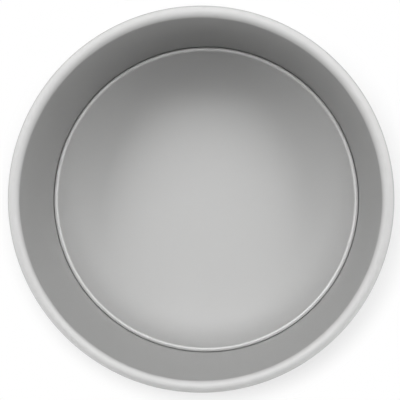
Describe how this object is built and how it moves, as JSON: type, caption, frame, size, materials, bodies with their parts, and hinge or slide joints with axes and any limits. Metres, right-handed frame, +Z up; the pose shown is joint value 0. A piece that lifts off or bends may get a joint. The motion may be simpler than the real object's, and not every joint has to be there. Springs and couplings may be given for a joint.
{
  "type": "round cake tin",
  "caption": "Deep round cake tin in satin anodised aluminium, with a wire-rolled rim and a loose base that lies on an inner ledge and lifts out.",
  "frame": {"origin": "centre of the foot, on the surface that the tin stands on", "axes": "+Z up out of the mouth, along the axis that every piece is turned about"},
  "size_m": [0.2174, 0.2174, 0.0762],
  "materials": {
    "anodised_side": "satin anodised, matt grain",
    "steel_wire": "drawn wire",
    "anodised_base": "satin anodised, matt grain"
  },
  "bodies": {
    "tin": {"side_wall": "anodised_side", "rim_wire": "steel_wire"},
    "base": {"loose_base": "anodised_base"}
  },
  "joints": [
    {"name": "base_lift", "type": "slide", "parent": "tin", "child": "base", "axis": [0, 0, 1], "range_m": [0, 0.085]}
  ]
}
